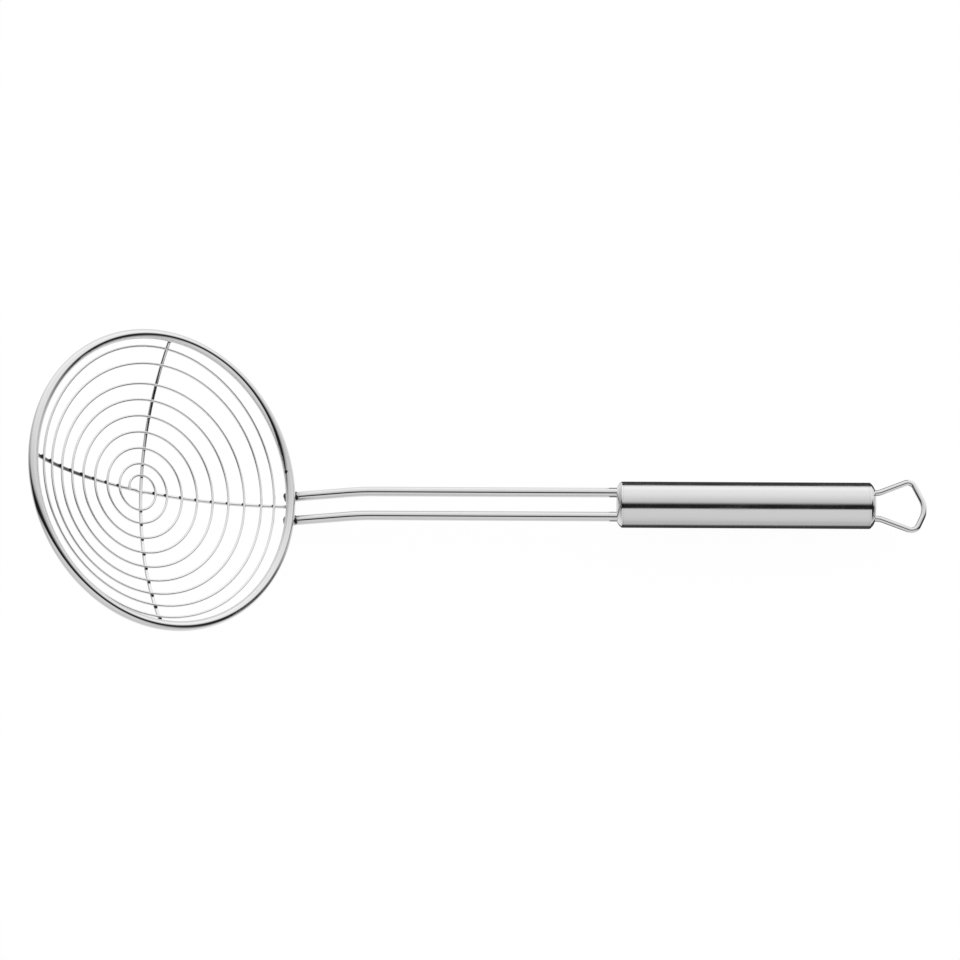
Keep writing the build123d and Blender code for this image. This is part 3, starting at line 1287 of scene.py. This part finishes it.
@dataclass
class Grip:
    """The satin tube, its two caps, the brace inside it and the hanging loop.

    A corner of the loop is how far it lies behind the rear cap, how far to the side, and its radius.
    """

    radius: float = 9.45 * MM
    wall: float = 1.0 * MM
    edge: float = 0.1 * MM
    tube_runs: int = 24
    tube_sides: int = 256
    cap_face_radius: float = 6.3 * MM
    cap_face_steps: int = 8
    dome_length: float = 2.1 * MM
    dome_bulge_share: float = 0.4
    dome_steps: int = 14
    cap_length: float = 2.7 * MM
    cap_wall: float = 1.2 * MM
    cap_sides: int = 192
    spigot_length: float = 5.0 * MM
    spigot_radius: float = 8.4 * MM
    crease_radius: float = 0.35 * MM
    cap_turn_step: float = 4.0
    cap_run_step: float = 1.0 * MM
    rod_hole_radius: float = 2.05 * MM
    rod_hole_offset: float = 5.1 * MM
    leg_hole_radius: float = 1.25 * MM
    leg_hole_offset: float = 5.45 * MM
    drill_overlength: float = 1.5
    loop_wire: float = 2.4 * MM
    loop_sides: int = 32
    loop_chamfer: float = 0.15 * MM
    loop_turn_step: float = 3.0
    loop_run_step: float = 0.8 * MM
    loop_corners: tuple[Triple, ...] = (
        mm(-9.0, 5.45, 0.0), mm(1.8, 5.45, 6.0), mm(15.2, 10.7, 3.0), mm(20.9, -1.2, 9.0),
        mm(16.2, -11.0, 3.0), mm(1.8, -5.45, 6.0), mm(-9.0, -5.45, 0.0),
    )

    def __post_init__(self) -> None:
        """Finds the tube's ends and axis in the frame."""
        low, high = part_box("grip_tube")
        axis_height = (low[2] + high[2]) / 2
        self.tube_start = Vector((low[0], 0.0, axis_height))
        self.tube_length = high[0] - low[0]
        self.front_end = low[0] - self.cap_length
        self.front_face = Vector((self.front_end, 0.0, axis_height))
        self.rear_face = Vector((high[0] + self.cap_length, 0.0, axis_height))

    def build(self) -> None:
        """Builds and dresses every piece of the grip."""
        finish_piece(self.tube(), SteelFinish.SATIN_TUBE, "satin_tube", "grip_tube")
        front = self.cap("front_cap_shell", self.front_face, 1.0, self.rod_hole_radius, self.rod_hole_offset)
        finish_piece(front, SteelFinish.POLISHED_CAP, "polished_cap", "front_cap")
        rear = self.cap("rear_cap_shell", self.rear_face, -1.0, self.leg_hole_radius, self.leg_hole_offset)
        finish_piece(rear, SteelFinish.POLISHED_CAP, "polished_cap", "rear_cap")
        finish_piece(self.loop(), SteelFinish.POLISHED_WIRE, "polished_wire", "hanging_loop")
        for material_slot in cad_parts["rod_brace"].material_slots:
            material_slot.material = SteelFinish.PLAIN.value.material()

    def tube(self) -> bpy.types.Object:
        """The straight tube, its edges barely broken.

        Returns:
            The new piece.
        """
        length, inner, chamfered_radius = self.tube_length, self.radius - self.wall, self.radius - self.edge
        run = (length - 2 * self.edge) / self.tube_runs
        outside = [(self.edge + run * step, self.radius) for step in range(self.tube_runs + 1)]
        profile = [(0.0, chamfered_radius), *outside, (length, chamfered_radius), (length, inner), (0.0, inner)]
        return turned_piece("grip_shell", profile, self.tube_start, 1.0, self.tube_sides)

    def cap(self, name: str, face: Vector, inward: float, hole: float, offset: float) -> bpy.types.Object:
        """A domed cap with two holes.

        Args:
            name: the piece's name.
            face: the middle of its outer face.
            inward: 1 where the tube lies along +X of it, otherwise -1.
            hole: the radius of its holes.
            offset: how far each hole lies from the axis.

        Returns:
            The new piece.
        """
        step = self.cap_face_radius / self.cap_face_steps
        dome = self.dome_points()
        corners = [Vector((0.0, step * number, 0.0)) for number in range(1, self.cap_face_steps)] + dome
        corners += [Vector((self.cap_length, radius, 0.0)) for radius in (self.radius, self.spigot_radius)]
        plain, crease = [0.0], [self.crease_radius]
        radii = plain * (self.cap_face_steps - 2) + crease + plain * (len(dome) - 2) + crease + plain
        outside = rounded_line(corners, radii, self.cap_turn_step, self.cap_run_step)
        inner_radius = self.spigot_radius - self.cap_wall
        spigot_end = self.cap_length + self.spigot_length
        inside = [
            (spigot_end, self.spigot_radius),
            (spigot_end, inner_radius),
            (self.cap_length, inner_radius),
            (self.cap_wall, self.cap_face_radius),
            (self.cap_wall, 0.0),
            (0.0, 0.0),
        ]
        profile = [(point.x, point.y) for point in outside] + inside
        piece = turned_piece(name, profile, face, inward, self.cap_sides)
        middle = face + Vector((inward * spigot_end / 2, 0.0, 0.0))
        holes = [middle + Vector((0.0, side * offset, 0.0)) for side in (1, -1)]
        drill(piece, holes, hole, spigot_end * self.drill_overlength)
        return piece

    def dome_points(self) -> list[Vector]:
        """The dome's outline, an arc through three points.

        Returns:
            Its points from the flat face to the land.
        """
        start = Vector((0.0, self.cap_face_radius))
        rise = (self.radius - self.cap_face_radius) * (1 - self.dome_bulge_share)
        middle = Vector((self.dome_length * self.dome_bulge_share, self.cap_face_radius + rise))
        end = Vector((self.dome_length, self.radius))
        centre = circle_centre(start, middle, end)
        first, last = (math.atan2(point.y - centre.y, point.x - centre.x) for point in (start, end))
        reach = (start - centre).length
        angles = [first + (last - first) * step / self.dome_steps for step in range(self.dome_steps + 1)]
        return [Vector((centre.x + reach * math.cos(turn), centre.y + reach * math.sin(turn), 0.0)) for turn in angles]

    def loop(self) -> bpy.types.Object:
        """The bent wire loop, its legs held in the rear cap.

        Returns:
            The new piece.
        """
        corners = [self.rear_face + Vector((along, side, 0.0)) for along, side, _ in self.loop_corners]
        radii = [radius for _, _, radius in self.loop_corners[1:-1]]
        points = rounded_line(corners, radii, self.loop_turn_step, self.loop_run_step)
        rings = [Ring(point, self.loop_wire / 2) for point in points]
        return round_wire("hanging_loop_wire", rings, self.loop_sides, self.loop_chamfer)


def circle_centre(first: Vector, second: Vector, third: Vector) -> Vector:
    """The centre of a circle of a plane.

    Args:
        first: a point of the circle.
        second: another one.
        third: a third one.

    Returns:
        The centre.
    """
    a, b = second - first, third - first
    double_area = 2 * (a.x * b.y - a.y * b.x)
    x = (b.y * a.length_squared - a.y * b.length_squared) / double_area
    y = (a.x * b.length_squared - b.x * a.length_squared) / double_area
    return first + Vector((x, y))


# ------------------------------------------------------------------------ neck


@dataclass(frozen=True)
class Rod:
    """What sets one rod apart: its name, its side, how dark its tip is painted as shade, and its burr's half sizes."""

    name: str
    way: int
    tip_painted_shade: float
    burr_half_sizes: Triple


class NeckRod(Enum):
    """The two rods of the neck."""

    # painted shade: the left tip is painted darker than the right, and the dark burrs stand for it too
    LEFT = Rod("left", 1, 1.0, mm(0.60, 1.15, 0.9))
    RIGHT = Rod("right", -1, 0.75, mm(0.42, 0.60, 0.6))


@dataclass
class Neck:
    """The two bent rods between the bowl and the grip.

    Places of beads and burrs are along the rod, across it and out of its upper side, from the weld or the tip.
    """

    bowl: Bowl
    grip: Grip
    rod: float = 4.0 * MM
    rod_sides: int = 40
    rod_chamfer: float = 0.25 * MM
    spacing: float = 10.2 * MM
    rise: float = 16.1
    foot: float = 3.8 * MM
    reach: float = 29.4 * MM
    bend_radius: float = 37.0 * MM
    turn_step: float = 0.6
    run_step: float = 1.0 * MM
    depth_in_grip: float = 32.0 * MM
    # heat tint at each rod's weld, also painted shade where the rod passes under the rim
    weld_tint_and_shade: float = 0.35
    weld_tint_and_shade_reach: float = 1.8 * MM
    tip_painted_shade_reach: float = 2.0 * MM
    weld_half_sizes: Triple = mm(1.9, 1.7, 0.75)
    weld_seed: float = 7.0
    # extra dark lumps beside each weld: real beads that also stand for painted shade at the junction
    beads: tuple[tuple[Triple, Triple], ...] = (
        (mm(1.8, -0.9, 1.5), mm(0.7, 1.1, 0.7)),
        (mm(1.4, 1.4, 1.3), mm(0.36, 0.36, 0.32)),
    )
    bead_seed: float = 11.0
    burr_place: Triple = mm(0.0, 0.35, 0.6)
    burr_seed: float = 17.0
    unevenness: float = 0.4

    def __post_init__(self) -> None:
        """Works out the rods' directions and where they touch the rim."""
        rise = math.radians(self.rise)
        self.along = Vector((math.cos(rise), 0.0, math.sin(rise)))
        self.across = Vector((0.0, 1.0, 0.0))
        self.outward = self.along.cross(self.across)
        rim_at_rod = math.sqrt(self.bowl.rim_radius**2 - (self.spacing / 2) ** 2)
        off_rim = self.bowl.rim_wire / 2 + self.rod / 2 + self.bowl.weld_gap
        slope = math.radians(self.bowl.tilt + self.rise)
        self.weld = self.bowl.at(rim_at_rod + off_rim * math.sin(slope), 0.0, -off_rim * math.cos(slope))
        self.to_rim = self.bowl.at(rim_at_rod, 0.0) - self.weld
        self.tip = self.weld - self.along * self.foot

    def build(self) -> None:
        """Builds and dresses both rods and their welds, whose dark lumps also stand for painted shade."""
        for which in NeckRod:
            rod = which.value
            finish_piece(self.rod_piece(rod), SteelFinish.POLISHED_WIRE, "polished_wire", f"neck_rod_{rod.name}")
        finish_piece(self.welds(), SteelFinish.WELD, "polished_wire")

    def rod_piece(self, rod: Rod) -> bpy.types.Object:
        """One rod, from its cut tip under the rim to its end in the grip.

        Args:
            rod: which one.

        Returns:
            The new piece.
        """
        corner = self.weld + self.along * self.reach
        end = Vector((self.grip.front_end + self.depth_in_grip, 0.0, corner.z))
        points = rounded_line([self.tip, corner, end], [self.bend_radius], self.turn_step, self.run_step)
        aside = self.across * (rod.way * self.spacing / 2)
        rings = []
        for point in points:
            # heat tint and painted shade near the weld
            at_weld = self.weld_tint_and_shade * bell((point - self.weld).length / self.weld_tint_and_shade_reach)
            # painted shade at the cut tip
            at_tip = rod.tip_painted_shade * bell(((point - self.tip).length / self.tip_painted_shade_reach) ** 2)
            rings.append(Ring(point + aside, self.rod / 2, max(at_weld, at_tip)))
        return round_wire(f"neck_rod_{rod.name}_wire", rings, self.rod_sides, self.rod_chamfer)

    def beside(self, start: Vector, side: float, place: Triple) -> Vector:
        """A point beside a rod.

        Args:
            start: a point of the rods' middle line.
            side: how far the rod lies from that line.
            place: how far to go along the rod, across it and outward.

        Returns:
            The point.
        """
        along, across, outward = place
        return start + self.along * along + self.across * (side + across) + self.outward * outward

    def welds(self) -> bpy.types.Object:
        """The welds between the rods and the rim, with their beads and the burrs on the rods' tips: dark lumps of weld
        metal that also stand for painted shade where the rods pass under the rim and at their tips.

        Returns:
            The new piece.
        """
        directions = (self.along, self.across, self.outward)
        blobs, burrs = [], []
        for which in NeckRod:
            side = which.value.way * self.spacing / 2
            middle = self.weld + self.to_rim / 2 + self.across * side
            blobs.append(Blob(middle, directions, self.weld_half_sizes, self.weld_seed + side / MM))
            for place, half_sizes in self.beads:
                seed = self.bead_seed + side / MM + place[1] / MM
                blobs.append(Blob(self.beside(self.weld, side, place), directions, half_sizes, seed))
            at_tip = self.beside(self.tip, side, self.burr_place)
            burrs.append(Blob(at_tip, directions, which.value.burr_half_sizes, self.burr_seed + side / MM))
        return weld_lumps("shaded_neck_welds", blobs + burrs, self.unevenness)


# ---------------------------------------------------------------------- studio


@dataclass
class Studio:
    """The pale floor, the soft light around the skimmer, and the camera.

    The light is drawn by direction. Roll is the angle about the grip's line, 0 straight up and positive towards -Y,
    and pitch the angle towards +X. The levels go by roll, and the reach of the upper and the lower lamps by pitch, in
    degrees. The lower share goes by roll too, over a whole round. The gap goes by the sine of the angle from its plane.
    """

    camera_place: Triple = (0.02996, -0.35195, 1.18743)
    camera_turn: Triple = (17.128, 1.447, 0.729)
    lens: float = 112.5
    sensor: float = 36.0
    view_end: float = 20.0
    floor_half_size: float = 3.0
    light_gain: float = 1.25
    roll_levels: Pairs = (
        (-180, 0.92), (-110, 0.92), (-96, 0.96), (-88, 1.02), (-80, 1.22), (-60, 1.05), (-40, 1.00), (-20, 0.86),
        (-6, 0.74), (6, 0.70), (40, 0.80), (55, 0.79), (70, 0.79), (90, 0.74), (108, 0.68), (126, 0.78),
        (145, 0.90), (180, 0.92),
    )
    upper_reach: Pairs = (
        (-90, 0.40), (-75, 0.46), (-65, 0.54), (-55, 0.68), (-45, 0.82), (-35, 0.94), (-15, 1.0), (15, 0.98),
        (45, 1.04), (60, 0.95), (70, 0.85), (78, 0.60), (84, 0.28), (90, 0.10),
    )
    lower_reach: Pairs = (
        (-75, 0.55), (-65, 0.75), (-55, 0.88), (-45, 0.96), (-35, 1.0), (0, 1.0), (35, 1.05), (45, 0.86),
        (55, 0.48), (60, 0.26), (65, 0.10), (70, 0.04), (76, 0.015), (86, 0.010),
    )
    reach_gain: float = 1.1
    lower_share: Pairs = ((0.0, 1.0), (0.028, 1.0), (0.061, 0.0), (0.49, 0.0), (0.56, 1.0), (1.0, 1.0))
    gap_roll: float = 21.5
    gap_levels: Pairs = (
        (-0.40, 1.0), (-0.30, 0.80), (-0.20, 0.28), (-0.14, 0.03), (-0.10, 0.0), (0.19, 0.0), (0.22, 0.30),
        (0.27, 0.90), (0.30, 1.0),
    )
    gap_front: Pair = (-0.1, 0.1)
    gap_widening: float = 0.2
    gap_widening_edges: Pair = (0.60, 0.88)
    gap_grey: float = 0.012
    gap_grey_start: Pair = (0.45, 0.9)
    gap_grey_end: Pair = (0.96, 1.0)
    gap_floor: float = 0.013
    grip_flag_corners: Pairs = ((0.0490, -0.1), (0.158, -0.1), (0.195, 0.2), (0.0490, 0.2))
    grip_flag_levels: Pairs = (
        (-0.100, 0.72), (-0.060, 0.62), (-0.0248, 0.58), (-0.0203, 0.05), (-0.0055, 0.05), (-0.0015, 0.70),
        (0.0095, 0.70), (0.0122, 0.05), (0.125, 0.04), (0.200, 0.93),
    )
    flag_height: float = 0.2 * MM

    def build(self) -> None:
        """Sets up the floor, the light and the camera."""
        half = self.floor_half_size
        corners = [(x * half, y * half) for x, y in ((-1, -1), (1, -1), (1, 1), (-1, 1))]
        board = self.card("studio_floor", corners, 0.0, StudioFloor("studio_floor_board"))
        board.visible_glossy = False
        self.grip_flag()
        self.light()
        self.camera()
        bpy.context.scene.view_settings.view_transform = "Standard"

    def card(self, name: str, corners: Sequence[Pair], height: float, finish: Finish) -> bpy.types.Object:
        """A level card of the studio, which is no part of the skimmer.

        Args:
            name: the card's name.
            corners: its corners, seen from above.
            height: how high it lies.
            finish: what it is made of.

        Returns:
            The new card.
        """
        body = bmesh.new()
        body.faces.new([body.verts.new((x, y, height)) for x, y in corners])
        card = in_scene(name, as_mesh(name, body))
        card.data.materials.append(finish.material())
        return card

    def grip_flag(self) -> None:
        """Lays a card beside the grip that only the steel sees, for the grip's dark edges."""
        finish = FlagCard("grip_flag_card", self.grip_flag_levels)
        card = self.card("grip_flag", self.grip_flag_corners, self.flag_height, finish)
        for ray in ("camera", "diffuse", "shadow", "transmission"):
            setattr(card, f"visible_{ray}", False)

    def light(self) -> None:
        """Soft light from all round, with the gap between two lamps that steel shows as a dark line."""
        world = bpy.data.worlds.new("studio_light")
        world.use_nodes = True
        bpy.context.scene.world = world
        shader = Shader(world.node_tree)
        x, y, z = shader.parts(shader.node("ShaderNodeTexCoord").outputs["Generated"])
        roll = (-y).angle_from(z) / math.tau + 0.5
        pitch = x.arcsine() / math.pi + 0.5
        ring = shader.level(roll, self.stops(self.roll_levels, 360, self.light_gain))
        upper = shader.level(pitch, self.stops(self.upper_reach, 180, self.reach_gain))
        lower = shader.level(pitch, self.stops(self.lower_reach, 180, self.reach_gain))
        lamps = ring * shader.blend(shader.level(roll, self.lower_share), upper, lower)
        lean = math.radians(self.gap_roll)
        off_gap = y * -math.cos(lean) - z * math.sin(lean)
        off_gap = off_gap * (1.0 - x.between(*self.gap_widening_edges) * self.gap_widening)
        past_gap = shader.level(off_gap * 0.5 + 0.5, self.stops(self.gap_levels, 2.0, 1.0))
        facing = z * math.cos(lean) - y * math.sin(lean)
        open_share = shader.blend(facing.between(*self.gap_front), 1.0, past_gap)
        gap_light = x.between(*self.gap_grey_start) * (1.0 - x.between(*self.gap_grey_end)) * self.gap_grey
        brightness = shader.blend(open_share, gap_light + self.gap_floor, lamps * (self.light_gain * self.reach_gain))
        lit = shader.node("ShaderNodeBackground", {}, {"Color": grey(1.0), "Strength": brightness}).outputs[0]
        plain = shader.node("ShaderNodeBackground", {}, {"Color": grey(1.0), "Strength": 1.0}).outputs[0]
        seen = shader.node("ShaderNodeLightPath").outputs["Is Camera Ray"]
        mixed = shader.node("ShaderNodeMixShader", {}, {0: seen, 1: lit, 2: plain}).outputs[0]
        shader.node("ShaderNodeOutputWorld", {}, {"Surface": mixed})

    @staticmethod
    def stops(levels: Pairs, span: float, gain: float) -> list[Pair]:
        """Stops for a ramp whose middle is 0 and whose ends are span apart, with levels up to gain."""
        return [(place / span + 0.5, level / gain) for place, level in levels]

    def camera(self) -> None:
        """The camera where the photograph was taken from."""
        eye = bpy.data.cameras.new("studio_camera")
        eye.lens = self.lens
        eye.sensor_width = self.sensor
        eye.clip_end = self.view_end
        camera = bpy.data.objects.new("studio_camera", eye)
        camera.location = self.camera_place
        camera.rotation_euler = [math.radians(turn) for turn in self.camera_turn]
        bpy.context.scene.collection.objects.link(camera)
        bpy.context.scene.camera = camera


# ------------------------------------------------------------------------ main


def main() -> None:
    """Builds the skimmer and its studio."""
    logging.basicConfig(level=logging.INFO, format="%(message)s")
    bowl, grip = Bowl(), Grip()
    bowl.build()
    Neck(bowl, grip).build()
    grip.build()
    Studio().build()


if __name__ == "__main__":
    main()
